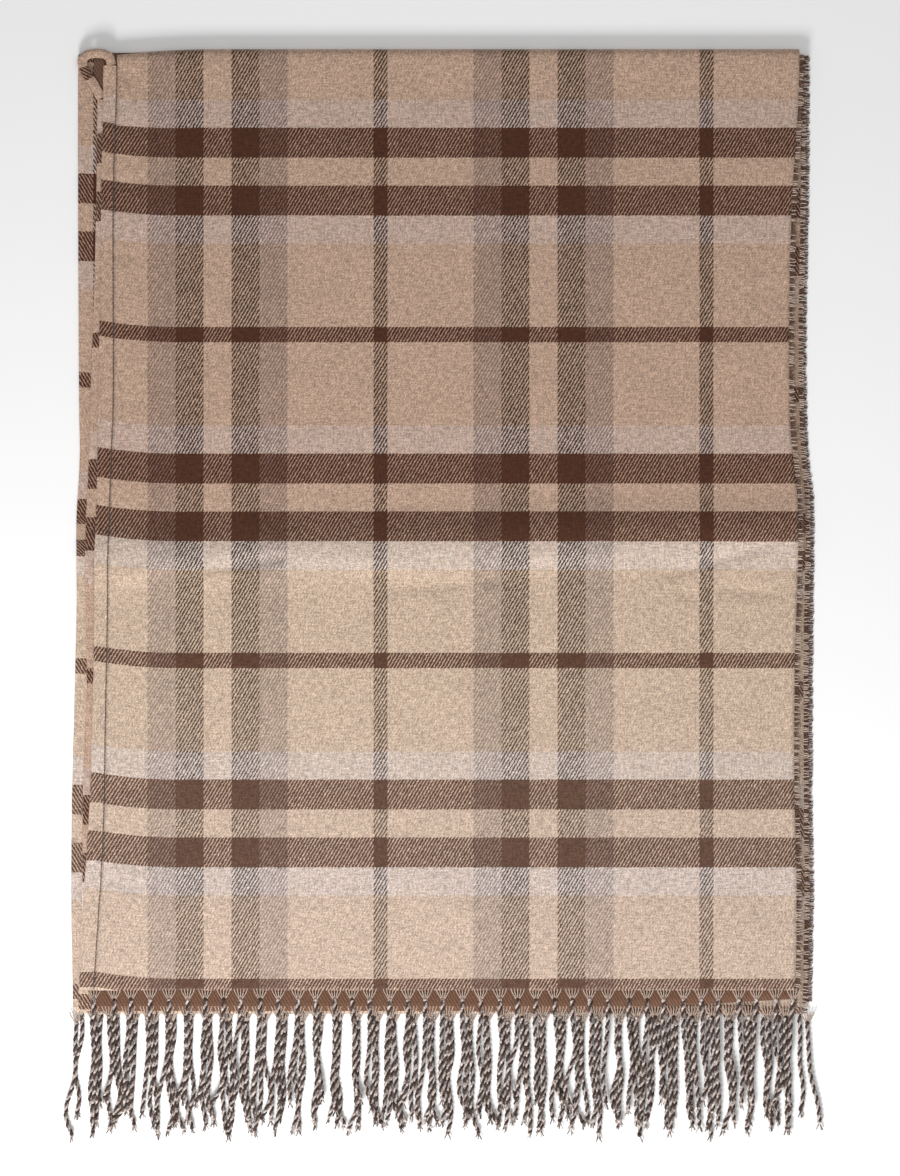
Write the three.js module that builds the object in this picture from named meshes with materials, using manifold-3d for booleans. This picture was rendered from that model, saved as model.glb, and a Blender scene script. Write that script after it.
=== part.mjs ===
// A plaid ruana, folded and laid flat: millimetres, +Z up, shoulders towards +Y and fringe towards -Y.
// The origin is on the surface that it lies on, at the middle of the folded garment.
//
// The cloth is one woven rectangle, slit from its front end to the neck. It is folded in half along the
// centre back and then at the shoulders, with the fronts on top, so four layers lie on each other.
// From the surface up they are the right back (0), left back (1), left front (2) and right front (3).
// The two back halves are joined by the fold at -X. Each front joins its back half at the shoulder.
// The layers under the right front share one solid, in which only their edges are modelled apart.
import * as THREE from 'three';
import { mergeVertices } from 'three/addons/utils/BufferGeometryUtils.js';
import Module from 'manifold-3d';

// ---------------------------------------------------------------- driving dimensions
const WALL = 2.0; // brushed twill, napped on both faces
const HEM_WALL = 2.6; // the slit's turned hem, pressed
const SELVEDGE_WALL = 1.4;
const LAYER_PITCH = 2.4; // from the underside of one layer to the next, where they lie close
const SEAM_GAP = 0.3; // between pieces that meet
const SHOULDER_END = 539.5; // the outermost line of the shoulder fold
const SELVEDGE_WIDTH = 6;
const FRINGE_WALL = 1.8;

// The stack is thicker where the shoulder fold springs, and over a ridge across its middle,
// where the back layers have been taken up into a soft pleat.
const SHOULDER_SPRING = 0.4;
const SHOULDER_REACH = 46;
const RIDGE_SPRING = 0.8;
const RIDGE_Y = 44;
const RIDGE_REACH = 46;
const RIDGE_SLANT = 0.045; // the ridge climbs towards +Y from the centre back fold to the selvedges

// How far the cloth of each layer reaches towards -Y.
const HEM_Y = { rightBack: -415.5, leftBack: -426.5, leftFront: -423.5, rightFront: -402.5 };
const LEVEL = { rightBack: 0, leftBack: 1, leftFront: 2, rightFront: 3 };

// Where the long edges lie, a row for each station between the shoulder and the hem.
const EDGE_COLUMNS = ['y', 'frontHem', 'frontSeam', 'rightFrontEdge', 'leftFrontHem', 'backFold',
  'leftBackEdge', 'rightBackEdge'];
const EDGE_ROWS = [
  [540, -340, -328, 359, -349, -368, 362, 365],
  [487, -343, -331, 357, -349, -369, 361, 365],
  [387, -345, -333, 351, -350, -369, 361, 364.5],
  [287, -346, -333, 349, -352, -368.5, 359, 362],
  [187, -348, -332.5, 349, -356, -368, 359, 362],
  [117, -349, -336, 351.5, -358, -366.5, 361, 363.5],
  [72, -350, -337.5, 355.5, -360, -371, 364, 367],
  [42, -351, -338.5, 358, -361, -369, 366, 370],
  [-33, -352, -339, 355, -360, -370.5, 364, 368.5],
  [-113, -353, -340.5, 354, -359.5, -372, 364, 368.5],
  [-213, -356, -342, 354, -364, -375, 364, 367.5],
  [-313, -362, -347, 357, -364, -376, 365, 369.5],
  [-403, -367, -353, 355, -368, -374, 363, 367],
];
const LEFT_FRONT_TUCK = 3; // the left front's selvedge lies this far inside the right front's
const LEFT_FRONT_HEM_WIDTH = 12;

// The band of the neck, from the right front's hem over the end of the slit to the left front's hem.
const NECK_COLUMNS = ['x', 'y', 'z'];
const NECK_ROWS = [
  [-334.5, 524.5, 11.6],
  [-336, 530.5, 11.6],
  [-342, 534.2, 11.2],
  [-351, 534.8, 10.4],
  [-360, 533.2, 9.4],
  [-364.6, 527.5, 8.8],
  [-362.6, 520, 8.6],
  [-357.5, 511.5, 8.6],
  [-351.5, 503, 8.4],
  [-345.6, 495.2, 8.0],
];
const NECK_BAND = { width: 8.6, thickness: 2.6, steps: 26 };
const RIGHT_FRONT_HEM_TOP = 522.2;
const LEFT_FRONT_HEM_TOP = 489;

// The reach of each layer's fringe: its length, and the outline and underside at its root and tips.
const FRINGE_COLUMNS = ['share', 'left', 'right', 'underside'];
const FRINGES = {
  rightBack: { tips: -539.5, rows: [[0, -370, 361, 0], [0.15, -371, 361, 0], [1, -369, 360, 0]] },
  leftBack: { tips: -536, rows: [[0, -371, 362, 2.4], [0.15, -372, 364, 2.2], [0.8, -373, 376, 2.1],
    [1, -371, 372, 2.1]] },
  leftFront: { tips: -530, rows: [[0, -366, 348, 4.8], [0.15, -368, 350, 4.6], [1, -369, 352, 4.2]] },
  rightFront: { tips: -522, rows: [[0, -365, 349, 7.2], [0.19, -367, 350, 7.2], [0.3, -368, 352, 6.6],
    [1, -366, 356, 6.3]] },
};

const CLOTH_COLOUR = 0xc9b09e;
const WRONG_SIDE_COLOUR = 0x6e4d3c;
const HEM_COLOUR = 0xbfa591;
const SELVEDGE_COLOUR = 0x8a6a58;
const FRINGE_COLOUR = 0x9b8d89;

// ---------------------------------------------------------------- shared geometry
const named = (columns, row) => Object.fromEntries(columns.map((name, i) => [name, row[i]]));
const EDGES = EDGE_ROWS.map((row) => named(EDGE_COLUMNS, row));

// A column of a table, as a function of another column that only rises or only falls.
function between(rows, key, column) {
  const sorted = [...rows].sort((a, b) => a[key] - b[key]);
  return (at) => {
    const upper = sorted.findIndex((row) => row[key] >= at);
    if (upper === 0) return sorted[0][column];
    if (upper < 0) return sorted.at(-1)[column];
    const [a, b] = [sorted[upper - 1], sorted[upper]];
    return THREE.MathUtils.mapLinear(at, a[key], b[key], a[column], b[column]);
  };
}
const edge = (column, inwards = 0) => {
  const line = between(EDGES, 'y', column);
  return (y) => line(y) + inwards;
};

// Joins equal rings of points into a closed solid. Each ring runs out along one face of the cloth and
// back along the other, so an end is closed by the strip between its two halves.
function loft(rings) {
  const count = rings[0].length;
  const index = [];
  const quad = (a, b, c, d) => index.push(a, b, c, a, c, d);
  for (let r = 0; r + 1 < rings.length; r += 1) {
    for (let i = 0; i < count; i += 1) {
      const next = (i + 1) % count;
      quad(r * count + i, r * count + next, (r + 1) * count + next, (r + 1) * count + i);
    }
  }
  const last = (rings.length - 1) * count;
  for (let i = 0; i < count / 2; i += 1) {
    const back = (count - i) % count;
    const [a, b, c, d] = [i, i + 1, count - i - 1, back];
    if (a === d) {
      index.push(a, c, b);
      index.push(last + a, last + b, last + c);
    } else if (b === c) {
      index.push(a, d, b);
      index.push(last + a, last + b, last + d);
    } else {
      quad(a, d, c, b);
      quad(last + a, last + b, last + c, last + d);
    }
  }
  const geometry = new THREE.BufferGeometry();
  geometry.setAttribute('position', new THREE.Float32BufferAttribute(rings.flat(2), 3));
  geometry.setIndex(facingOut(rings.flat(), index));
  return geometry;
}
// The triangles of a closed solid, all turned round if they enclose a negative volume.
function facingOut(points, index) {
  const corner = points.map((p) => new THREE.Vector3(...p));
  let volume = 0;
  for (let i = 0; i < index.length; i += 3) {
    const [a, b, c] = [corner[index[i]], corner[index[i + 1]], corner[index[i + 2]]];
    volume += a.dot(new THREE.Vector3().crossVectors(b, c));
  }
  return volume < 0 ? index.reverse() : index;
}

// ---------------------------------------------------------------- how the layers lie
const SHOULDER_RADIUS = (3 * LAYER_PITCH * (1 + SHOULDER_SPRING) + WALL) / 2;
const SHOULDER_AXIS = { y: SHOULDER_END - SHOULDER_RADIUS, z: SHOULDER_RADIUS };
const SHOULDER_TURNS = 5; // steps in the quarter turn of a wall round the fold

const swell = (t) => (Math.abs(t) < 1 ? (1 + Math.cos(Math.PI * t)) / 2 : 0);
function spring(y) {
  const shoulder = THREE.MathUtils.smoothstep(y, SHOULDER_AXIS.y - SHOULDER_REACH, SHOULDER_AXIS.y);
  return 1 + SHOULDER_SPRING * shoulder + RIDGE_SPRING * swell((y - RIDGE_Y) / RIDGE_REACH);
}
const middleOf = (level) => (y) => level * LAYER_PITCH * spring(y) + WALL / 2;

const FINE_STEP = 12; // between sections where the stack is curved
const COARSE_STEP = 45;
const STATIONS = [];
for (let y = SHOULDER_AXIS.y; y > HEM_Y.leftBack;) {
  STATIONS.push(y);
  const curved = Math.abs(y - RIDGE_Y) < 1.3 * RIDGE_REACH || y > SHOULDER_AXIS.y - SHOULDER_REACH;
  y -= curved ? FINE_STEP : COARSE_STEP;
}
// The flat run of a layer between two lines across it, as points of its middle with the way up.
function flatRun(level, top, bottom) {
  const lines = [top, ...STATIONS.filter((y) => y < top - 2 && y > bottom + 2), bottom];
  return lines.map((y) => ({ y, z: middleOf(level)(y), up: [0, 1], at: y }));
}
// The turn of a layer round the shoulder, from its flat run at one face to the outermost line.
function shoulderTurn(radius, from, to) {
  return Array.from({ length: SHOULDER_TURNS + 1 }, (_, i) => {
    const angle = THREE.MathUtils.lerp(from, to, i / SHOULDER_TURNS);
    const out = [Math.cos(angle), Math.sin(angle)];
    const y = SHOULDER_AXIS.y + radius * out[0];
    return { y, z: SHOULDER_AXIS.z + radius * out[1], up: out, at: y };
  });
}
const OUTER_TURN = SHOULDER_RADIUS - WALL / 2;
const INNER_TURN = OUTER_TURN - LAYER_PITCH * (1 + SHOULDER_SPRING);
const HALF_SEAM = SEAM_GAP / 2 / OUTER_TURN;

// The middle line of a front layer, from the shoulder's outermost line down to a line near its hem.
function frontLine(bottom) {
  const turn = shoulderTurn(OUTER_TURN, HALF_SEAM, Math.PI / 2);
  return [...turn, ...flatRun(LEVEL.rightFront, SHOULDER_AXIS.y, bottom).slice(1)];
}
function rightBackLine(bottom) {
  const turn = shoulderTurn(OUTER_TURN, -HALF_SEAM, -Math.PI / 2);
  const run = flatRun(LEVEL.rightBack, SHOULDER_AXIS.y, bottom).slice(1);
  return [...turn.map((p) => ({ ...p, up: [-p.up[0], -p.up[1]] })), ...run];
}

// A strip of cloth along a line of middle points, between two edges given as functions of y.
// Its long edges are rounded, and the slant of the ridge shears it.
const NOSE_STEPS = 2;
function clothStrip(line, left, right, thickness, columns = 4) {
  const half = thickness / 2;
  const nose = Array.from({ length: NOSE_STEPS }, (_, i) => (i / NOSE_STEPS) * (Math.PI / 2));
  return loft(line.map(({ y, z, up, at }) => {
    const [a, b] = [left(at), right(at)];
    const face = [
      ...nose.map((t) => [a + half * (1 - Math.cos(t)), half * Math.sin(t)]),
      ...Array.from({ length: columns }, (_, i) => (
        [THREE.MathUtils.lerp(a + half, b - half, i / (columns - 1)), half])),
      ...nose.map((t) => [b - half * (1 - Math.cos(t)), half * Math.sin(t)]).reverse(),
    ];
    const other = face.slice(1, -1).reverse().map(([x, rise]) => [x, -rise]);
    return [...face, ...other].map(([x, rise]) => {
      const shear = RIDGE_SLANT * x * swell((y - RIDGE_Y) / (3 * RIDGE_REACH));
      return [x, y + up[0] * rise + shear, z + up[1] * rise];
    });
  }));
}

const root = new THREE.Group();
function add(name, geometry, color, roughness = 0.95) {
  geometry.computeVertexNormals();
  const material = new THREE.MeshStandardMaterial({ color, roughness, metalness: 0 });
  const mesh = new THREE.Mesh(geometry, material);
  mesh.name = name;
  root.add(mesh);
}

// ---------------------------------------------------------------- the layers under the right front
// Each wall has its own outline, and a core well inside their edges joins them into one solid.
const wasm = await Module();
wasm.setup();

function solid(geometry) {
  const positions = new THREE.BufferGeometry();
  positions.setAttribute('position', geometry.getAttribute('position'));
  positions.setIndex(geometry.getIndex());
  const merged = mergeVertices(positions, 1e-3);
  return new wasm.Manifold(new wasm.Mesh({
    numProp: 3,
    vertProperties: merged.getAttribute('position').array,
    triVerts: new Uint32Array(merged.getIndex().array),
  }));
}
function geometryOf(manifold) {
  const mesh = manifold.getMesh();
  const geometry = new THREE.BufferGeometry();
  geometry.setAttribute('position', new THREE.Float32BufferAttribute(mesh.vertProperties, 3));
  geometry.setIndex(Array.from(mesh.triVerts));
  return geometry;
}

const FOLD_INSET = 2; // the back layers run this far into the round of the centre back fold
const selvedgeRoom = -(SELVEDGE_WIDTH + SEAM_GAP);

function rightBackWall() {
  const line = rightBackLine(HEM_Y.rightBack);
  return clothStrip(line, edge('backFold', FOLD_INSET), edge('rightBackEdge', selvedgeRoom), WALL, 3);
}
// The left back and left front are one wall, folded at the shoulder inside the right half.
function leftHalfWall() {
  const backRun = flatRun(LEVEL.leftBack, SHOULDER_AXIS.y, HEM_Y.leftBack).reverse();
  const frontRun = flatRun(LEVEL.leftFront, SHOULDER_AXIS.y, HEM_Y.leftFront);
  const turn = shoulderTurn(INNER_TURN, -Math.PI / 2, Math.PI / 2).slice(1, -1);
  const sided = [
    ...backRun.map((p) => ({ ...p, up: [0, -1], side: 0 })),
    ...turn.map((p, i) => ({ ...p, side: (i + 1) / (turn.length + 1) })),
    ...frontRun.map((p) => ({ ...p, side: 1 })),
  ].reverse();
  const line = sided.map((p, i) => ({ ...p, at: i }));
  const leftAt = [edge('backFold', FOLD_INSET), edge('leftFrontHem', LEFT_FRONT_HEM_WIDTH + SEAM_GAP)];
  const rightAt = [edge('leftBackEdge', selvedgeRoom),
    edge('rightFrontEdge', selvedgeRoom - LEFT_FRONT_TUCK)];
  const blend = ([back, front]) => (i) => {
    const { y, side } = line[i];
    return THREE.MathUtils.lerp(back(y), front(y), side);
  };
  return clothStrip(line, blend(leftAt), blend(rightAt), WALL, 3);
}
// The centre back fold: the round that joins the two back layers along -X.
const FOLD_DEPTH = 9;
function centreBackFold() {
  return loft(flatRun(0, SHOULDER_AXIS.y, HEM_Y.rightBack).map(({ y }) => {
    const top = LAYER_PITCH * spring(y) + WALL;
    const x = edge('backFold')(y);
    const shear = RIDGE_SLANT * x * swell((y - RIDGE_Y) / (3 * RIDGE_REACH));
    const round = [0, 30, 60, 90].map((degrees) => {
      const angle = THREE.MathUtils.degToRad(degrees);
      return [x + (top / 2) * (1 - Math.cos(angle)), (top / 2) * Math.sin(angle)];
    });
    const face = [...round, [x + FOLD_DEPTH, top / 2]];
    const other = [...face.slice(1)].reverse().map(([px, rise]) => [px, -rise]);
    return [...face, ...other].map(([px, rise]) => [px, y + shear, top / 2 + rise]);
  }));
}
const CORE_INSET = 20;
function core() {
  const left = edge('leftFrontHem', CORE_INSET);
  const right = edge('rightFrontEdge', -CORE_INSET);
  const run = flatRun(LEVEL.leftFront, SHOULDER_AXIS.y, HEM_Y.rightBack + CORE_INSET);
  return loft(run.map(({ y, z }) => {
    const shear = (x) => RIDGE_SLANT * x * swell((y - RIDGE_Y) / (3 * RIDGE_REACH));
    const across = [left(y), 0, right(y)];
    return [
      ...across.map((x) => [x, y + shear(x), z]),
      ...[...across].reverse().map((x) => [x, y + shear(x), WALL / 2]),
    ];
  }));
}

const foldedLayers = [rightBackWall(), leftHalfWall(), centreBackFold(), core()]
  .map(solid)
  .reduce((whole, piece) => whole.add(piece));
add('folded_layers', geometryOf(foldedLayers), WRONG_SIDE_COLOUR);

// ---------------------------------------------------------------- the right front
add('right_front_panel', clothStrip(frontLine(HEM_Y.rightFront), edge('frontSeam', SEAM_GAP),
  edge('rightFrontEdge', selvedgeRoom), WALL, 6), CLOTH_COLOUR);

// ---------------------------------------------------------------- the hems of the slit and the neck
function hemRun(level, top, bottom) {
  return flatRun(level, top, bottom).map((p) => ({ ...p, z: p.z + (HEM_WALL - WALL) / 2 }));
}
add('right_front_hem', clothStrip(hemRun(LEVEL.rightFront, RIGHT_FRONT_HEM_TOP, HEM_Y.rightFront),
  edge('frontHem'), edge('frontSeam'), HEM_WALL, 2), HEM_COLOUR);
add('left_front_hem', clothStrip(flatRun(LEVEL.leftFront, LEFT_FRONT_HEM_TOP, HEM_Y.leftFront),
  edge('leftFrontHem'), edge('leftFrontHem', LEFT_FRONT_HEM_WIDTH), WALL, 2), HEM_COLOUR);

function neckHem() {
  const { width, thickness, steps } = NECK_BAND;
  const points = NECK_ROWS.map((row) => named(NECK_COLUMNS, row));
  const route = new THREE.CatmullRomCurve3(points.map(({ x, y, z }) => new THREE.Vector3(x, y, z)));
  const section = Array.from({ length: 8 }, (_, i) => (i / 8) * 2 * Math.PI);
  return loft(Array.from({ length: steps + 1 }, (_, step) => {
    const at = route.getPointAt(step / steps);
    const along = route.getTangentAt(step / steps);
    const across = new THREE.Vector3(-along.y, along.x, 0).normalize();
    return section.map((angle) => [
      at.x + across.x * (width / 2) * Math.cos(angle),
      at.y + across.y * (width / 2) * Math.cos(angle),
      at.z + (thickness / 2) * Math.sin(angle),
    ]);
  }));
}
add('neck_hem', neckHem(), HEM_COLOUR);

// ---------------------------------------------------------------- the selvedges
const frontSelvedge = edge('rightFrontEdge', -LEFT_FRONT_TUCK);
const SELVEDGES = [
  { name: 'selvedge_right_front', line: frontLine(HEM_Y.rightFront), outer: edge('rightFrontEdge') },
  { name: 'selvedge_left_front', outer: frontSelvedge,
    line: flatRun(LEVEL.leftFront, SHOULDER_AXIS.y, HEM_Y.leftFront) },
  { name: 'selvedge_left_back', outer: edge('leftBackEdge'),
    line: flatRun(LEVEL.leftBack, SHOULDER_AXIS.y, HEM_Y.leftBack) },
  { name: 'selvedge_right_back', line: rightBackLine(HEM_Y.rightBack), outer: edge('rightBackEdge') },
];
SELVEDGES.forEach(({ name, line, outer }) => {
  add(name, clothStrip(line, (y) => outer(y) - SELVEDGE_WIDTH, outer, SELVEDGE_WALL, 2), SELVEDGE_COLOUR);
});

// ---------------------------------------------------------------- the fringe
function fringe(layer) {
  const { tips, rows } = FRINGES[layer];
  const table = rows.map((row) => named(FRINGE_COLUMNS, row));
  const start = HEM_Y[layer] - SEAM_GAP;
  const line = table.map(({ share, underside }) => {
    const y = THREE.MathUtils.lerp(start, tips, share);
    return { y, z: underside + FRINGE_WALL / 2, up: [0, 1], at: share };
  });
  const [left, right] = ['left', 'right'].map((column) => between(table, 'share', column));
  return clothStrip(line, left, right, FRINGE_WALL, 6);
}
add('fringe_right_back', fringe('rightBack'), FRINGE_COLOUR);
add('fringe_left_back', fringe('leftBack'), FRINGE_COLOUR);
add('fringe_left_front', fringe('leftFront'), FRINGE_COLOUR);
add('fringe_right_front', fringe('rightFront'), FRINGE_COLOUR);

export default root;
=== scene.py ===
"""A plaid wool ruana, folded in half along its centre back and then at the shoulders, and laid flat."""
import math
import random

import bmesh
import bpy
import numpy as np
from mathutils import Matrix, Vector, noise


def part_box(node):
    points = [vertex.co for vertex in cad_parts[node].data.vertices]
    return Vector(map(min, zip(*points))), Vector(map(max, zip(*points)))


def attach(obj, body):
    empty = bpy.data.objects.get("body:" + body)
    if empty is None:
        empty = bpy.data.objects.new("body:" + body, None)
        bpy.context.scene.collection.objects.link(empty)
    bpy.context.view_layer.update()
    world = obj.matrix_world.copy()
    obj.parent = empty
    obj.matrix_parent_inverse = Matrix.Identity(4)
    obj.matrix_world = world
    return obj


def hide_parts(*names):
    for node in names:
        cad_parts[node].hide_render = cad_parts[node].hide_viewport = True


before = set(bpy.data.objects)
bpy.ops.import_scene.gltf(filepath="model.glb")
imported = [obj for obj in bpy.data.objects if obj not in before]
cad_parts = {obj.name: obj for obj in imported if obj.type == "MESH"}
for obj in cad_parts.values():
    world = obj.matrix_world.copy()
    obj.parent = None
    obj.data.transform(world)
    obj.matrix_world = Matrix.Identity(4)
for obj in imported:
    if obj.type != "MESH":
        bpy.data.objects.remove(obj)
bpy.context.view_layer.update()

MM = 0.001

# ---------------------------------------------------------------- how the camera stands
# The garment lies flat and is seen from straight above through a long lens, shoulders at the top.
FRAME_HEIGHT = 1.176
CAMERA_HEIGHT = 3.2
CLOTH_TOP = 0.010
SENSOR = 36.0
camera_data = bpy.data.cameras.new("camera")
camera_data.sensor_width = SENSOR
camera_data.lens = SENSOR * (CAMERA_HEIGHT - CLOTH_TOP) / FRAME_HEIGHT
camera = bpy.data.objects.new("camera", camera_data)
camera.location = (0.004, 0.0, CAMERA_HEIGHT)
bpy.context.scene.collection.objects.link(camera)
bpy.context.scene.camera = camera

# ---------------------------------------------------------------- the right front
# The top layer: the right front of the body cloth, plaid side up, from the shoulder fold down to the
# fringed hem. It is one woven twill in brown, taupe and beige wool, brushed on both faces.
WALL = 2.0 * MM
LAYER_PITCH = 2.4 * MM
SHOULDER_SPRING, SHOULDER_REACH = 0.4, 46 * MM
RIDGE_SPRING, RIDGE_Y, RIDGE_REACH, RIDGE_SLANT = 0.8, 44 * MM, 46 * MM, 0.045
SHOULDER_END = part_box("right_front_panel")[1].y
TURN = (3 * LAYER_PITCH * (1 + SHOULDER_SPRING) + WALL) / 2
SHOULDER_Y = SHOULDER_END - TURN


def swell(t):
    return np.where(np.abs(t) < 1, (1 + np.cos(np.pi * np.clip(t, -1, 1))) / 2, 0)


def spring(x, y):
    """How far the layers spread: more at the shoulder fold, and over the ridge across the middle."""
    t = np.clip((y - SHOULDER_Y + SHOULDER_REACH) / SHOULDER_REACH, 0, 1)
    at_shoulder = SHOULDER_SPRING * t * t * (3 - 2 * t)
    return 1 + at_shoulder + RIDGE_SPRING * swell((y - RIDGE_SLANT * x - RIDGE_Y) / RIDGE_REACH)


def layer_z(level, x, y):
    return level * LAYER_PITCH * spring(x, y) + WALL / 2


EDGE_SAMPLES, EDGE_WINDOW = 80, 34 * MM


def outline(cad_node, side):
    """The left (min) or right (max) edge of a CAD node, as a function of y."""
    corners = np.array([v.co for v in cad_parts[cad_node].data.vertices])
    ys = np.linspace(corners[:, 1].min(), corners[:, 1].max(), EDGE_SAMPLES)
    near = [corners[np.abs(corners[:, 1] - y) < EDGE_WINDOW, 0] for y in ys]
    xs = np.array([getattr(x, side)() for x in near])
    xs[2:-2] = sum(xs[k:len(xs) - 4 + k] for k in range(5)) / 5
    return lambda y: np.interp(y, ys, xs)


def rumple(x, y, size, height):
    """Broad unevenness of soft cloth, the same each run."""
    points = zip(np.ravel(x) / size, np.ravel(y) / size)
    heights = [noise.noise(Vector((a, b, size * 100))) for a, b in points]
    return height * np.array(heights).reshape(np.shape(x))


# Creases of the top layer: where each starts and ends, its depth (negative is a ridge) and half width.
CREASES = [
    # x0, y0, x1, y1, depth, width, in mm
    (-244, 19, -200, 24, 2.0, 5), (-205, 23, -156, 32, 2.4, 5), (-338, -3, -240, 18, 1.1, 9),
    (-57, 0, 26, 4, 1.0, 6), (34, 5, 68, 13, 1.2, 5), (215, 13, 252, 22, 1.6, 5),
    (250, 22, 332, 46, 2.2, 6), (268, 1, 339, -7, 1.3, 6), (231, -4, 250, -9, 1.3, 4),
    (-120, 30, -20, 22, -0.9, 9), (60, 28, 190, 36, -1.0, 10), (-330, 8, -250, 30, -1.0, 10),
    (-331, 531, -306, 512, 1.6, 5), (-330, 520, -292, 495, 1.2, 5), (-320, 538, -285, 520, 1.0, 6),
    (-333, 465, -292, 461, 1.0, 5), (-333, 407, -295, 405, 1.0, 5), (-332, 336, -306, 331, 0.9, 4),
    (-335, 190, -300, 184, 0.7, 5), (-338, -196, -300, -204, 0.7, 5), (-345, -290, -305, -300, 0.7, 6),
    (338, 300, 300, 292, 0.6, 6), (342, -90, 300, -84, 0.6, 6), (120, 536, 150, 500, 0.5, 9),
]
CREASE_PRESS = 1.5


def creases(x, y):
    """How far the creases raise the cloth: below zero in a trough."""
    total = np.zeros_like(x)
    for x0, y0, x1, y1, depth, width in CREASES:
        a, b = np.array([x0, y0]) * MM, np.array([x1, y1]) * MM
        along = ((x - a[0]) * (b[0] - a[0]) + (y - a[1]) * (b[1] - a[1])) / ((b - a) ** 2).sum()
        t = np.clip(along, 0, 1)
        away = np.hypot(x - a[0] - t * (b[0] - a[0]), y - a[1] - t * (b[1] - a[1]))
        fade = np.clip(1.15 - np.abs(2 * t - 1) ** 3, 0, 1)
        total -= CREASE_PRESS * depth * MM * fade * np.exp(-((away / (width * MM)) ** 2))
    return total


def sheet_mesh(name, columns, rows, place):
    """A grid bent to place(s, t), which gives x, y, z and the cloth's own coordinates u and v."""
    bm = bmesh.new()
    bmesh.ops.create_grid(bm, x_segments=columns, y_segments=rows, size=1.0)
    flat = np.array([v.co[:2] for v in bm.verts])
    x, y, z, u, v = place((flat[:, 0] + 1) / 2, (flat[:, 1] + 1) / 2)
    layer = bm.loops.layers.uv.new("cloth")
    bm.verts.index_update()
    for face in bm.faces:
        for corner in face.loops:
            i = corner.vert.index
            corner[layer].uv = (u[i], v[i])
        face.smooth = True
    for vert, a, b, c in zip(bm.verts, x, y, z):
        vert.co = (a, b, c)
    mesh = bpy.data.meshes.new(name)
    bm.to_mesh(mesh)
    bm.free()
    piece = bpy.data.objects.new(name, mesh)
    bpy.context.scene.collection.objects.link(piece)
    return piece


def thicken(piece, wall, front, back):
    piece.data.materials.append(front)
    piece.data.materials.append(back)
    shell = piece.modifiers.new("wall", "SOLIDIFY")
    shell.thickness = wall
    shell.offset = 0
    shell.material_offset = 1


def srgb(text):
    """A #rrggbb colour as the linear values that a shader takes."""
    parts = [int(text[i:i + 2], 16) / 255 for i in (1, 3, 5)]
    return [c / 12.92 if c <= 0.04045 else ((c + 0.055) / 1.055) ** 2.4 for c in parts] + [1]


def node(tree, kind, settings=(), output=0, **links):
    """Adds a node and gives one of its outputs. A link names an input, or its place as _0, _1 and on."""
    made = tree.nodes.new(kind)
    for key, value in dict(settings).items():
        setattr(made, key, value)
    for key, value in links.items():
        socket = made.inputs[int(key[1:])] if key[1:].isdigit() else made.inputs[key]
        if isinstance(value, bpy.types.NodeSocket):
            tree.links.new(value, socket)
        else:
            socket.default_value = value
    return made.outputs[output]


MULTIPLY, ADD, SUBTRACT, DIVIDE, PINGPONG = [
    {"operation": name} for name in ("MULTIPLY", "ADD", "SUBTRACT", "DIVIDE", "PINGPONG")]
CLAMPED_ADD = {"operation": "ADD", "use_clamp": True}
COLOUR = {"data_type": "RGBA"}
TONE = {"data_type": "RGBA", "blend_type": "MULTIPLY"}


def new_material(name, roughness):
    """Brushed or spun wool: rough, barely glossy, with a faint bloom of fibre at its edges."""
    material = bpy.data.materials.new(name)
    material.use_nodes = True
    shader = material.node_tree.nodes["Principled BSDF"]
    shader.inputs["Roughness"].default_value = roughness
    shader.inputs["Sheen Weight"].default_value = 0.25
    shader.inputs["Sheen Roughness"].default_value = 0.5
    shader.inputs["Specular IOR Level"].default_value = 0.2
    return material, material.node_tree, shader


def roughen(tree, shader, strength, distance, height):
    """Raises the wales or the plies a little by bump, since they are finer than the mesh."""
    bump = node(tree, "ShaderNodeBump", Strength=strength, Distance=distance, Height=height)
    tree.links.new(bump, shader.inputs["Normal"])


# Yarn colours of the plaid, and how far each stripe starts from the middle of a pair of bars.
BEIGE, TAUPE, UMBER = srgb("#c9b19c"), srgb("#907d72"), srgb("#45301f")
OAT, BROWN = srgb("#d1c4bd"), srgb("#542e1b")
HALF_REPEAT = 163 * MM
WARP_STRIPES = [(0, BEIGE), (14, UMBER), (41.5, TAUPE), (69.5, BEIGE), (155.8, UMBER)]
WEFT_STRIPES = [(0, BEIGE), (14, BROWN), (43.5, OAT), (71.5, BEIGE), (155.3, BROWN)]
STRIPE_WANDER = 2.4 * MM


def yarn_stripes(tree, along, nudge, stripes):
    """The yarn colour at a place along the check."""
    wavy = node(tree, "ShaderNodeMath", ADD, _0=along, _1=nudge)
    distance = node(tree, "ShaderNodeMath", PINGPONG, _0=wavy, _1=HALF_REPEAT)
    share = node(tree, "ShaderNodeMath", DIVIDE, _0=distance, _1=HALF_REPEAT)
    yarn = node(tree, "ShaderNodeValToRGB", _0=share)
    ramp = yarn.node.color_ramp
    ramp.interpolation = "CONSTANT"
    while len(ramp.elements) < len(stripes):
        ramp.elements.new(0.5)
    for element, (start, colour) in zip(ramp.elements, stripes):
        element.position = start * MM / HALF_REPEAT
        element.color = colour
    return yarn


def cloth_coordinates(tree):
    """The cloth's own coordinates in metres: across, along, and the two as a vector."""
    uv = node(tree, "ShaderNodeUVMap", {"uv_map": "cloth"})
    u, v = [node(tree, "ShaderNodeSeparateXYZ", output=way, _0=uv) for way in ("X", "Y")]
    return u, v, node(tree, "ShaderNodeCombineXYZ", _0=u, _1=v)


# Twill, 2/2, brushed: soft slanting wales, 3.4 mm apart across the cloth and 5.8 mm along it.
WALE_ACROSS, WALE_ALONG = 3.4 * MM, 5.8 * MM


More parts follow.
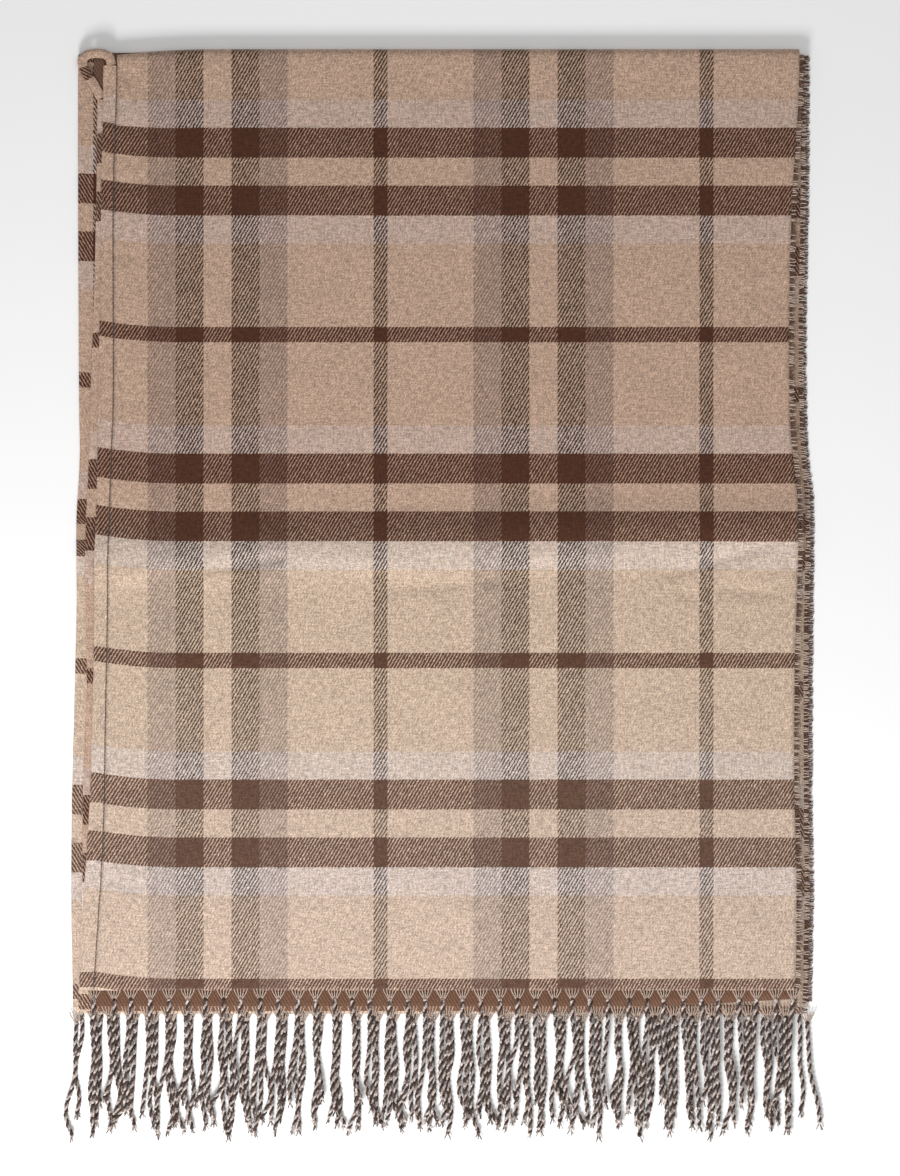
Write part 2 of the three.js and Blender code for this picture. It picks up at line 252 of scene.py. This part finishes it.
def wales(tree, u, v, cloth):
    """0 to 0.5 across each slanting wale, with its line broken by the yarns' unevenness."""
    across = node(tree, "ShaderNodeMath", DIVIDE, _0=u, _1=WALE_ACROSS)
    along = node(tree, "ShaderNodeMath", DIVIDE, _0=v, _1=WALE_ALONG)
    phase = node(tree, "ShaderNodeMath", SUBTRACT, _0=across, _1=along)
    wander = node(tree, "ShaderNodeTexNoise", _2=420.0, _3=2.0, Vector=cloth)
    wander = node(tree, "ShaderNodeMath", MULTIPLY, _0=wander, _1=0.9)
    phase = node(tree, "ShaderNodeMath", ADD, _0=phase, _1=wander)
    return node(tree, "ShaderNodeMath", PINGPONG, _0=phase, _1=0.5)


def face_share(tree, weft, wale, painted_light_to_hem):
    """How much of the warp shows between the picks: less under brown weft than under pale. Towards the hem
    the dark yarns show less, in part as painted light.
    """
    paleness = node(tree, "ShaderNodeSeparateColor", _0=weft)
    high = node(tree, "ShaderNodeMapRange", _0=paleness, _1=0.05, _2=0.4, _3=0.83, _4=0.47)
    low = node(tree, "ShaderNodeMapRange", _0=paleness, _1=0.05, _2=0.4, _3=0.74, _4=0.54)
    cover = node(tree, "ShaderNodeMix", _0=painted_light_to_hem, _2=high, _3=low)
    blur = node(tree, "ShaderNodeMapRange", _0=paleness, _1=0.05, _2=0.4, _3=0.62, _4=0.34)
    edge = node(tree, "ShaderNodeMath", MULTIPLY, _0=wale, _1=2.0)
    edge = node(tree, "ShaderNodeMath", SUBTRACT, _0=edge, _1=cover)
    edge = node(tree, "ShaderNodeMath", DIVIDE, _0=edge, _1=blur)
    return node(tree, "ShaderNodeMath", CLAMPED_ADD, _0=edge, _1=0.5)


def heather_and_wale_shade(tree, cloth, fibre, wale):
    """Light and dark in the wool: mixed fibres, broad unevenness and slubs; and painted shade in the furrows
    between the wales, lighter on their crests.
    """
    broad = node(tree, "ShaderNodeTexNoise", _2=38.0, _3=3.0, Vector=cloth)
    # slubs are short thick stretches of yarn, 2 mm wide and 6 mm long, in the warp and in the weft
    slubs = []
    for scale in ((520.0, 150.0, 1.0), (150.0, 520.0, 1.0)):
        way = node(tree, "ShaderNodeMapping", Vector=cloth, Scale=scale)
        slubs.append(node(tree, "ShaderNodeTexNoise", _2=1.0, _3=2.0, Vector=way))
    slub = node(tree, "ShaderNodeMath", ADD, _0=slubs[0], _1=slubs[1])
    tones = [
        # what varies, its low and high values, and the tone at each
        (fibre, 0.32, 0.68, 0.5, 1.42),
        (broad, 0.3, 0.7, 1.0, 1.09),
        (slub, 0.75, 1.25, 0.72, 1.28),
        # painted shade of each wale's round: darker in its furrow, lighter on its crest
        (wale, 0.0, 0.5, 0.9, 1.09),
    ]
    value = 1.0
    for source, low, high, dark, light in tones:
        tone = node(tree, "ShaderNodeMapRange", _0=source, _1=low, _2=high, _3=dark, _4=light)
        value = node(tree, "ShaderNodeMath", MULTIPLY, _0=value, _1=tone)
    return node(tree, "ShaderNodeCombineColor", _0=value, _1=value, _2=value)


# Painted shade along the cloth, from the hem to the shoulder: it is painted darker and warmer above the
# ridge, where the cloth slopes away from the light, and paler and cooler at the hem. Why is not known:
# it may be the lie of the nap.
PAINTED_SHADE_FROM, PAINTED_SHADE_TO = -0.7, -0.33
PAINTED_SHADE_STOPS = [
    # share of the way up, and the tone there
    (0.0, (0.915, 0.92, 0.96, 1)), (0.5, (0.955, 0.955, 0.955, 1)),
    (0.86, (0.96, 0.955, 0.95, 1)), (1.0, (0.815, 0.735, 0.715, 1)),
]


# painted shade: darker and warmer above the ridge, cooler at the hem
def painted_shade_along(tree, v):
    share = node(tree, "ShaderNodeMapRange", _0=v, _1=PAINTED_SHADE_FROM, _2=PAINTED_SHADE_TO)
    tone = node(tree, "ShaderNodeValToRGB", _0=share)
    elements = tone.node.color_ramp.elements
    elements[0].color, elements[-1].color = PAINTED_SHADE_STOPS[0][1], PAINTED_SHADE_STOPS[-1][1]
    for place, colour in PAINTED_SHADE_STOPS[1:-1]:
        elements.new(place).color = colour
    return tone


def plaid_material(name):
    """Brushed wool twill, right side: dull and soft, the check's edges a little ragged, grainy close up."""
    material, tree, shader = new_material(name, 0.92)
    u, v, cloth = cloth_coordinates(tree)
    wale = wales(tree, u, v, cloth)
    fuzz = node(tree, "ShaderNodeTexNoise", _2=900.0, _3=2.0, Vector=cloth)
    fuzz = node(tree, "ShaderNodeMath", SUBTRACT, _0=fuzz, _1=0.5)
    nudge = node(tree, "ShaderNodeMath", MULTIPLY, _0=fuzz, _1=STRIPE_WANDER)
    warp = yarn_stripes(tree, u, nudge, WARP_STRIPES)
    weft = yarn_stripes(tree, v, nudge, WEFT_STRIPES)
    # how far towards the hem the cloth is painted paler: painted light
    painted_light_to_hem = node(tree, "ShaderNodeMapRange", _0=v, _1=-0.35, _2=-0.6)
    face = face_share(tree, weft, wale, painted_light_to_hem)
    colour = node(tree, "ShaderNodeMix", COLOUR, 2, _0=face, _6=weft, _7=warp)
    # towards the hem a little beige is mixed over the dark yarns: painted light, where the light is stronger
    painted_light_mix = node(tree, "ShaderNodeMath", MULTIPLY, _0=painted_light_to_hem, _1=0.08)
    colour = node(tree, "ShaderNodeMix", COLOUR, 2, _0=painted_light_mix, _6=colour, _7=BEIGE)
    fibre = node(tree, "ShaderNodeTexNoise", _2=800.0, _3=3.0, _4=0.75, Vector=cloth)
    # the heather and the painted shade along the cloth multiply the colour
    for tone in (heather_and_wale_shade(tree, cloth, fibre, wale), painted_shade_along(tree, v)):
        colour = node(tree, "ShaderNodeMix", TONE, 2, _0=1.0, _6=colour, _7=tone)
    tree.links.new(colour, shader.inputs["Base Color"])
    height = node(tree, "ShaderNodeMath", MULTIPLY, _0=wale, _1=1.2)
    height = node(tree, "ShaderNodeMath", ADD, _0=height, _1=fibre)
    roughen(tree, shader, 0.5, 0.5 * MM, height)
    return material


def brown_material(name, dark, light):
    """Brushed wool twill, wrong side: its brown binding weft over everything, matt and streaky."""
    material, tree, shader = new_material(name, 0.95)
    u, v, cloth = cloth_coordinates(tree)
    wale = wales(tree, u, v, cloth)
    fibre = node(tree, "ShaderNodeTexNoise", _2=1300.0, _3=3.0, _4=0.7, Vector=cloth)
    streak = node(tree, "ShaderNodeMath", SUBTRACT, _0=fibre, _1=0.4)
    streak = node(tree, "ShaderNodeMath", MULTIPLY, _0=streak, _1=1.2)
    share = node(tree, "ShaderNodeMath", CLAMPED_ADD, _0=wale, _1=streak)
    colour = node(tree, "ShaderNodeMix", COLOUR, 2, _0=share, _6=srgb(dark), _7=srgb(light))
    tree.links.new(colour, shader.inputs["Base Color"])
    roughen(tree, shader, 0.5, 0.5 * MM, node(tree, "ShaderNodeMath", ADD, _0=wale, _1=fibre))
    return material


plaid = plaid_material("brushed_wool_twill_plaid")
brown = brown_material("brushed_wool_twill_wrong_side", "#4a2c1d", "#8a6853")

seam = outline("right_front_hem", "max")
front_edge = outline("selvedge_right_front", "max")
front_hem_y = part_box("right_front_panel")[0].y
CENTRE_BACK = -369 * MM
PAIR_FROM_CENTRE = 140.5 * MM
FRONT_PAIR_Y = 416.5 * MM


def front_pattern(x, y):
    """The plaid's coordinates on the right front: both are 0 at the middle of a pair of bars."""
    pull = np.clip((-268 * MM - x) / (82 * MM), 0, 1) ** 2 * 7 * MM
    return x - CENTRE_BACK - PAIR_FROM_CENTRE, y - FRONT_PAIR_Y - pull


def front_surface(x, y):
    """The middle of the top layer, which lies smooth again as it nears the shoulder fold."""
    crease_fade = np.clip((SHOULDER_END - y) / (20 * MM), 0, 1)
    rumple_fade = np.clip((SHOULDER_Y - y) / (30 * MM), 0, 1)
    return layer_z(3, x, y) + creases(x, y) * crease_fade + rumple(x, y, 0.07, 0.9 * MM) * rumple_fade


def corner_drop(x, y):
    """The shoulder line falls a little where the neck pulls on it."""
    nearness = np.clip((-224 * MM - x) / (110 * MM), 0, 1) ** 2
    return 5.5 * MM * nearness * np.clip((y - 440 * MM) / (95 * MM), 0, 1)


# the pucker repeats about every 16 mm along the stitch line
PUCKER = 2.6 * MM


def place_right_front(s, t):
    radius = TURN - WALL / 2
    length, arc = SHOULDER_Y - front_hem_y, math.pi * radius
    run = t * (length + arc)
    angle = np.clip(run - length, 0, arc) / radius
    turned = run > length
    y = np.where(turned, SHOULDER_Y + radius * np.sin(angle), front_hem_y + np.minimum(run, length))
    left, right = seam(y) + 0.1 * MM, front_edge(y) - 5.6 * MM
    x = left + s * (right - left)
    pull = (0.9 + 0.35 * np.sin(y / PUCKER)) * MM
    stitched = pull * np.exp(-(((x - left) / (3.5 * MM)) ** 2))
    z = np.where(turned, TURN + radius * np.cos(angle), front_surface(x, y) - stitched)
    u, v = front_pattern(x, front_hem_y + run)
    y = y - corner_drop(x, y)
    return x, y, z, u, v


right_front = sheet_mesh("right_front_cloth", 170, 230, place_right_front)
thicken(right_front, WALL, plaid, brown)
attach(right_front, "root")
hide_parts("right_front_panel")

# ---------------------------------------------------------------- the hems of the slit
# Each front edge is turned under and stitched down about 13 mm in: two thicknesses of cloth, rounded
# along the edge and pressed thin at the stitch line, where it puckers a little.
HEM_WALL = 2.6 * MM


def place_hem(outer, inner, box, pattern, surface):
    """A flattened roll: over from the stitch line, round the outer edge and back underneath."""
    bottom, top = box[0].y, box[1].y

    def place(s, t):
        y = bottom + t * (top - bottom)
        left, right = outer(y), inner(y)
        angle = np.pi * np.clip((s - 0.3) / 0.4, 0, 1)
        radius = HEM_WALL / 2
        over, under = np.clip(s / 0.3, 0, 1), np.clip((1 - s) / 0.3, 0, 1)
        reach = np.where(s < 0.5, over, under)
        x = right + (left + radius - right) * reach - radius * np.sin(angle)
        pucker = 0.35 * MM * np.sin(y / PUCKER) * (1 - reach)
        rise = radius * np.cos(angle) + np.where(s < 0.3, pucker - 0.9 * MM * (1 - reach) ** 3, 0)
        z = surface(x, y) + rise + (HEM_WALL - WALL) / 2
        u, v = pattern(x, y)
        return x, y, z, u, v
    return place


def left_front_surface(x, y):
    return layer_z(2, x, y)


left_hem_edge = outline("left_front_hem", "min")


def left_front_pattern(x, y):
    """The left front's plaid, counted from its own turned edge."""
    lower = np.clip((60 * MM - y) / (60 * MM), 0, 1) * 10 * MM
    return left_hem_edge(y) - x - PAIR_FROM_CENTRE, y - 85 * MM + lower


right_hem_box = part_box("right_front_hem")
right_front_hem = sheet_mesh("right_front_turned_hem", 20, 300, place_hem(
    outline("right_front_hem", "min"), seam, right_hem_box, front_pattern, front_surface))
right_front_hem.data.materials.append(plaid)
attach(right_front_hem, "root")
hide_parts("right_front_hem")

left_front_inner_edge = outline("left_front_hem", "max")
left_hem_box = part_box("left_front_hem")
left_front_hem = sheet_mesh("left_front_turned_hem", 20, 300, place_hem(
    left_hem_edge, left_front_inner_edge, left_hem_box, left_front_pattern, left_front_surface))
left_front_hem.data.materials.append(plaid)
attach(left_front_hem, "root")
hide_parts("left_front_hem")

# ---------------------------------------------------------------- the neck band
# The two hems run together over the end of the slit, where the turned cloth rolls into a soft cord.
NECK_ROUTE = [
    # x, y, z in mm, from the right front's hem to the left front's
    (-334.5, 522.5, 11.2), (-336, 530.5, 11.4), (-342, 534.2, 11.0), (-351, 534.8, 10.2), (-360, 533.2, 9.2),
    (-364.6, 527.5, 8.6), (-362.6, 520, 8.4), (-357.5, 511.5, 8.4), (-351.5, 503, 8.2), (-345, 490, 7.2),
]
NECK_WIDTH, NECK_WALL = 9.4 * MM, 3.6 * MM


def place_neck(s, t):
    route = np.array(NECK_ROUTE) * MM
    steps = np.linspace(0, 1, len(route))
    smooth = np.linspace(0, 1, 120)
    fine = np.stack([np.interp(smooth, steps, route[:, k]) for k in range(3)], 1)
    for _ in range(6):
        fine[1:-1] = (fine[:-2] + 2 * fine[1:-1] + fine[2:]) / 4
    ahead = np.gradient(fine, axis=0)
    at = [np.interp(t, smooth, fine[:, k]) for k in range(3)]
    dx, dy = np.interp(t, smooth, ahead[:, 0]), np.interp(t, smooth, ahead[:, 1])
    size = np.hypot(dx, dy)
    angle = 2 * np.pi * s
    side = NECK_WIDTH / 2 * np.cos(angle)
    rise = NECK_WALL / 2 * np.sin(angle) + 0.5 * MM * np.sin(angle) * np.sin(3 * angle + 2)
    x, y = at[0] - dy / size * side, at[1] + dx / size * side
    return x, y, at[2] + rise, -90 * MM + side, 90 * MM + t * 0.1


neck_band = sheet_mesh("neck_band", 20, 60, place_neck)
neck_band.data.materials.append(plaid)
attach(neck_band, "root")
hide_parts("neck_hem")

# ---------------------------------------------------------------- the layers underneath
# The left front lies wrong side up under the right front. The back is folded along its centre, with
# its left half plaid side up and its right half wrong side up on the surface that it lies on.
back_fold = outline("folded_layers", "min")
left_back_edge = outline("selvedge_left_back", "max")
right_back_edge = outline("selvedge_right_back", "max")
LEFT_FRONT_HEM_Y = left_hem_box[0].y
LEFT_BACK_HEM_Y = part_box("folded_layers")[0].y
RIGHT_BACK_HEM_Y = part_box("selvedge_right_back")[0].y


def place_left_front(s, t):
    top = SHOULDER_Y + 2 * MM
    low = LEFT_FRONT_HEM_Y + 12 * MM * np.clip((s - 0.7) / 0.3, 0, 1)
    y = low + t * (top - low)
    left = left_front_inner_edge(y) - 15 * MM * np.clip((y - 488 * MM) / (10 * MM), 0, 1)
    right = front_edge(y) - 8 * MM
    x = left + s * (right - left)
    return x, y, left_front_surface(x, y), *left_front_pattern(x, y)


left_front = sheet_mesh("left_front_cloth", 60, 110, place_left_front)
thicken(left_front, WALL * 0.9, brown, plaid)
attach(left_front, "root")


def back_pattern(x, y, upper):
    """The left back's plaid: its lines fall to the right, and a pleat has swallowed 40 mm of cloth."""
    share = (x - CENTRE_BACK) / (730 * MM)
    below = np.clip((70 * MM - y) / (50 * MM), 0, 1)
    v = y - 371.5 * MM + 15 * MM * share - 39.5 * MM * below + 8.5 * MM * share * below
    return np.where(upper, -1, 1) * (x - CENTRE_BACK) - PAIR_FROM_CENTRE, v


def place_back(s, t):
    fold_share = 0.03
    angle = np.pi * np.clip((s - 0.5 + fold_share) / (2 * fold_share), 0, 1)
    upper = s > 0.5
    mix = np.clip((s - 0.46) / 0.08, 0, 1)
    low = RIGHT_BACK_HEM_Y + (LEFT_BACK_HEM_Y - RIGHT_BACK_HEM_Y) * mix
    top = SHOULDER_Y + 1 * MM
    y = low + t * (top - low)
    radius = (layer_z(1, CENTRE_BACK, y) - WALL / 2) / 2
    fold = back_fold(y) + WALL / 2 + radius
    out = np.clip(np.abs(s - 0.5) / 0.5 - 2 * fold_share, 0, 1) / (1 - 2 * fold_share)
    right = np.where(upper, left_back_edge(y), right_back_edge(y)) - 5.6 * MM
    x = fold + out * (right - fold) - radius * np.sin(angle)
    flat_z = np.where(upper, layer_z(1, x, y), WALL / 2)
    z = np.where((angle > 0) & (angle < np.pi), WALL / 2 + radius * (1 - np.cos(angle)), flat_z)
    u, v = back_pattern(x, y, upper)
    return x, y, z, u, v


back = sheet_mesh("back_cloth", 240, 130, place_back)
thicken(back, WALL * 0.9, plaid, brown)
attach(back, "root")
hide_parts("folded_layers")

# ---------------------------------------------------------------- the stitches of the hems
# A single line of brown lockstitch holds the right front's hem, about eight stitches to 30 mm. The left
# front's hem lies mostly under it, and has none drawn.
STITCH, STITCH_GAP, THREAD = 2.9 * MM, 0.9 * MM, 0.42 * MM


def wool_material(name, dark, light, size):
    """Spun wool yarn, hairy and dull: its fibres drawn as flecks of two tones, of the size given; on the
    fringe plies the dark flecks are also painted shade.
    """
    material, tree, shader = new_material(name, 0.9)
    shader.inputs["Sheen Weight"].default_value = 0.2
    place = node(tree, "ShaderNodeTexCoord", output="Object")
    grain = node(tree, "ShaderNodeTexNoise", _2=1 / size, _3=3.0, _4=0.65, Vector=place)
    share = node(tree, "ShaderNodeMapRange", _0=grain, _1=0.34, _2=0.66)
    colour = node(tree, "ShaderNodeMix", COLOUR, 2, _0=share, _6=srgb(dark), _7=srgb(light))
    tree.links.new(colour, shader.inputs["Base Color"])
    roughen(tree, shader, 0.6, 0.3 * MM, grain)
    return material


def yarns(name, groups, knots=()):
    """Yarns as tubes in one mesh. Each group is a radius, sides, material and its lines of points."""
    holders = []
    for radius, resolution, material, lines in groups:
        part = bpy.data.curves.new(name + "_yarn", "CURVE")
        part.dimensions = "3D"
        part.bevel_depth = radius
        part.bevel_resolution = resolution
        part.use_fill_caps = True
        part.materials.append(material)
        for line in lines:
            spline = part.splines.new("POLY")
            spline.points.add(len(line) - 1)
            spline.points.foreach_set("co", np.append(line, np.ones((len(line), 1)), 1).ravel())
        holder = bpy.data.objects.new(name + "_yarn", part)
        bpy.context.scene.collection.objects.link(holder)
        holders.append(holder)
    bpy.context.view_layer.update()
    graph = bpy.context.evaluated_depsgraph_get()
    bm = bmesh.new()
    materials = []
    for holder, (_, _, material, _) in zip(holders, groups):
        mesh = bpy.data.meshes.new_from_object(holder.evaluated_get(graph))
        before = len(bm.faces)
        bm.from_mesh(mesh)
        bm.faces.ensure_lookup_table()
        for face in bm.faces[before:]:
            face.material_index = len(materials)
        materials.append(material)
        bpy.data.objects.remove(holder)
    for centre, radius, material in knots:
        if material not in materials:
            materials.append(material)
        ball = bmesh.ops.create_icosphere(
            bm, subdivisions=1, radius=radius, matrix=Matrix.Translation(centre))
        for face in {f for vert in ball["verts"] for f in vert.link_faces}:
            face.material_index = materials.index(material)
    for face in bm.faces:
        face.smooth = True
    mesh = bpy.data.meshes.new(name)
    bm.to_mesh(mesh)
    bm.free()
    for material in materials:
        mesh.materials.append(material)
    piece = bpy.data.objects.new(name, mesh)
    bpy.context.scene.collection.objects.link(piece)
    return piece


thread = wool_material("brown_sewing_thread", "#4a3226", "#7a5c4b", 1.2 * MM)


def stitch_lines(edge_x, surface, top, bottom, lift):
    lines = []
    y = top
    while y > bottom + STITCH:
        ys = np.array([y, y - STITCH / 2, y - STITCH])
        xs = edge_x(ys)
        zs = surface(xs, ys) + lift + np.array([-0.35, 0.1, -0.35]) * MM
        lines.append(np.stack([xs, ys, zs], 1))
        y -= STITCH + STITCH_GAP
    return lines


def seam_line(y):
    return seam(y) - 0.3 * MM


hem_stitches = stitch_lines(
    seam_line, front_surface, right_hem_box[1].y, right_hem_box[0].y, WALL / 2 + 0.25 * MM)
stitches = yarns("hem_stitches", [(THREAD, 0, thread, hem_stitches)])
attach(stitches, "root")

# ---------------------------------------------------------------- the selvedges
# The outer edges are cut close and left as they come: weft ends stand out of the last warps as a short
# lash. Brown and beige ends are mixed at random, in a share set for each layer.
lash_brown = wool_material("brown_weft_ends", "#3d2417", "#7d5c49", 2 * MM)
lash_beige = wool_material("beige_weft_ends", "#a98f7d", "#dcc8b8", 2 * MM)
LASH_RADIUS = 0.55 * MM
draw = random.Random(7)
SELVEDGES = [
    # node, level, outer edge, share of brown ends
    ("selvedge_right_front", 3, front_edge, 0.55),
    ("selvedge_left_front", 2, outline("selvedge_left_front", "max"), 0.8),
    ("selvedge_left_back", 1, left_back_edge, 0.35),
    ("selvedge_right_back", 0, right_back_edge, 0.95),
]
for node_name, level, edge_x, brown_share in SELVEDGES:
    low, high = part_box(node_name)
    lines = {True: [], False: []}
    y = low.y + 1 * MM
    while y < SHOULDER_Y:
        start = float(edge_x(y)) - 6.2 * MM
        reach = draw.uniform(4.6, 6.4) * MM
        z = float(layer_z(level, np.array(start), np.array(y)))
        xs = start + reach * np.array([0, 0.35, 0.7, 1])
        drift = draw.uniform(-1.6, 1.2) * MM
        ys = y + drift * np.array([0, 0.2, 0.6, 1])
        zs = z + np.array([0.5, 0.7, 0.3, draw.uniform(-0.8, 0.2)]) * MM
        lines[draw.random() < brown_share].append(np.stack([xs, ys, np.maximum(zs, 0.8 * MM)], 1))
        y += draw.uniform(1.3, 2.1) * MM
    piece = yarns(node_name + "_lash", [
        (LASH_RADIUS, 0, lash_brown, lines[True]), (LASH_RADIUS, 0, lash_beige, lines[False])])
    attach(piece, "root")
    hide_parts(node_name)

# ---------------------------------------------------------------- the fringe
# The warp is left long at both ends of the cloth. Its loose ends are gathered into knots under the last
# pick, twisted into two-ply cords and knotted again, with frayed tips. Five ends to a knot are drawn.
CORD_LENGTH, PLY, PLY_OFFSET, TWIST = 108 * MM, 1.3 * MM, 1.15 * MM, 11 * MM
KNOT_PITCH = 18.6 * MM
KNOT_RADIUS = (2.2 * MM, 2.7 * MM)
LOOSE_END, FRAYED_END = 0.6 * MM, 0.5 * MM
# The plies' dark flecks are far darker than their umber and oat yarns: painted shade between the plies.
ply_dark = wool_material("umber_fringe_ply_and_painted_shade", "#1c100b", "#55423a", 2.4 * MM)
ply_light = wool_material("oat_fringe_ply_and_painted_shade", "#54423b", "#ddcfc7", 2.4 * MM)
warp_ends = wool_material("beige_warp_ends", "#8f7464", "#d3bfae", 1.5 * MM)


def cord_route(root_x, root_y, root_z, rest_z, draw, lean, length):
    steps = np.linspace(0, 1, 90)
    sway = [draw.uniform(-4.2, 4.2) * MM for _ in range(3)]
    swing = sum(
        a * np.sin((k + 1) * math.pi * steps + draw.uniform(0, 0.8)) * steps for k, a in enumerate(sway))
    x = root_x + lean * steps ** 1.3 + swing
    y = root_y - length * steps
    z = rest_z + (root_z - rest_z) * np.exp(-steps * 9) + 0.4 * MM * np.sin(steps * 9 + sway[0] * 900)
    return np.stack([x, y, np.maximum(z, 2.5 * MM)], 1)


def twist(route, phase, ply):
    """One ply wound round the cord's route."""
    run = np.append(0, np.cumsum(np.linalg.norm(np.diff(route, axis=0), axis=1)))
    angle = 2 * math.pi * run / TWIST + phase + ply * math.pi
    return route + np.stack([np.cos(angle), 0 * angle, np.sin(angle)], 1) * PLY_OFFSET


def fringe(name, cad_node, level, roots, root_y, rest_z, seed):
    draw = random.Random(seed)
    dark, light, loose, fray_dark, fray_light, knots = [], [], [], [], [], []
    clump = 0.0
    for i, x in enumerate(roots):
        z = level * LAYER_PITCH + WALL / 2
        if i % draw.choice((2, 3, 4)) == 0:
            clump = draw.uniform(-7, 7) * MM
        lean = 0.8 * clump + draw.uniform(-6, 6) * MM
        length = CORD_LENGTH * draw.uniform(0.9, 1.04)
        if cad_node == "fringe_left_back" and i == len(roots) - 1:
            lean = 11 * MM
        knot_y = root_y - 9.5 * MM
        for k in range(5):
            offset = (k - 2) * 3.4 * MM
            loose.append(np.array([
                (x + offset, root_y + 2 * MM, z + 0.9 * MM),
                (x + offset * 0.8, root_y - 2 * MM, z + 0.8 * MM),
                (x + offset * 0.15, knot_y, z)]))
        route = cord_route(x, knot_y, z, rest_z, draw, lean, length)
        phase = draw.uniform(0, 6.3)
        dark.append(twist(route, phase, 0))
        light.append(twist(route, phase, 1))
        size = draw.uniform(*KNOT_RADIUS)
        knots.append((Vector(route[0]), size, ply_light if draw.random() < 0.6 else ply_dark))
        tip = route[-1]
        size = draw.uniform(*KNOT_RADIUS)
        knots.append((Vector(tip), size, draw.choice((ply_dark, ply_light))))
        for k in range(6):
            spread = draw.uniform(-3.6, 3.6) * MM
            drop = draw.uniform(4, 9) * MM
            end = np.array([
                tip,
                tip + (spread * 0.4, -drop * 0.5, -0.3 * MM),
                tip + (spread, -drop, -0.8 * MM)])
            end[:, 2] = np.maximum(end[:, 2], 0.8 * MM)
            (fray_dark if k % 2 else fray_light).append(end)
    piece = yarns(name, [
        (PLY, 1, ply_dark, dark),
        (PLY, 1, ply_light, light),
        (LOOSE_END, 0, warp_ends, loose),
        (FRAYED_END, 0, ply_dark, fray_dark),
        (FRAYED_END, 0, ply_light, fray_light),
    ], knots)
    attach(piece, "root")
    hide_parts(cad_node)
    return piece


FRINGES = [
    # name, CAD node, level, first and last knot in mm, hem, height at rest in mm
    ("right_back_cords", "fringe_right_back", 0, -365, 354, RIGHT_BACK_HEM_Y, 2.2),
    ("left_back_cords", "fringe_left_back", 1, -370, 361, LEFT_BACK_HEM_Y, 3.4),
    ("left_front_cords", "fringe_left_front", 2, -355, 340, LEFT_FRONT_HEM_Y + 3 * MM, 4.8),
    ("right_front_cords", "fringe_right_front", 3, -351, 347, front_hem_y, 6.4),
]
for seed, (name, cad_node, level, first, last, hem_y, rest_z) in enumerate(FRINGES):
    count = round((last - first) * MM / KNOT_PITCH)
    draw = random.Random(40 + seed)
    roots = [(first + (last - first) * i / count + draw.uniform(-1.4, 1.4)) * MM for i in range(count + 1)]
    fringe(name, cad_node, level, roots, hem_y, rest_z * MM, 60 + seed)

# ---------------------------------------------------------------- the studio
# A pale seamless floor under soft light from above, a little stronger towards the fringe.
floor_bm = bmesh.new()
bmesh.ops.create_grid(floor_bm, x_segments=1, y_segments=1, size=4)
floor_mesh = bpy.data.meshes.new("floor")
floor_bm.to_mesh(floor_mesh)
floor_bm.free()
floor = bpy.data.objects.new("floor", floor_mesh)
bpy.context.scene.collection.objects.link(floor)
# White seamless paper: flat and matt, so it holds a soft shadow and no gloss.
paper, _, paper_shader = new_material("white_paper", 0.9)
paper_shader.inputs["Base Color"].default_value = srgb("#fbfbfb")
paper_shader.inputs["Sheen Weight"].default_value = 0
floor_mesh.materials.append(paper)

world = bpy.data.worlds.new("studio")
world.use_nodes = True
world.node_tree.nodes["Background"].inputs["Color"].default_value = (1, 1, 1, 1)
world.node_tree.nodes["Background"].inputs["Strength"].default_value = 0.4
bpy.context.scene.world = world
LAMPS = [
    # name, place, aim, size, watts
    ("key_light", (-0.5, -1.9, 1.25), (0, -0.2, 0), 0.7, 52),
    ("fill_light", (0.4, 0.3, 2.4), (0, 0, 0), 1.6, 10),
]
for name, place, aim, size, watts in LAMPS:
    lamp = bpy.data.lights.new(name, "AREA")
    lamp.size = size
    lamp.energy = watts
    holder = bpy.data.objects.new(name, lamp)
    holder.location = place
    holder.rotation_euler = (Vector(aim) - Vector(place)).to_track_quat("-Z", "Y").to_euler()
    bpy.context.scene.collection.objects.link(holder)
bpy.context.scene.view_settings.view_transform = "Standard"
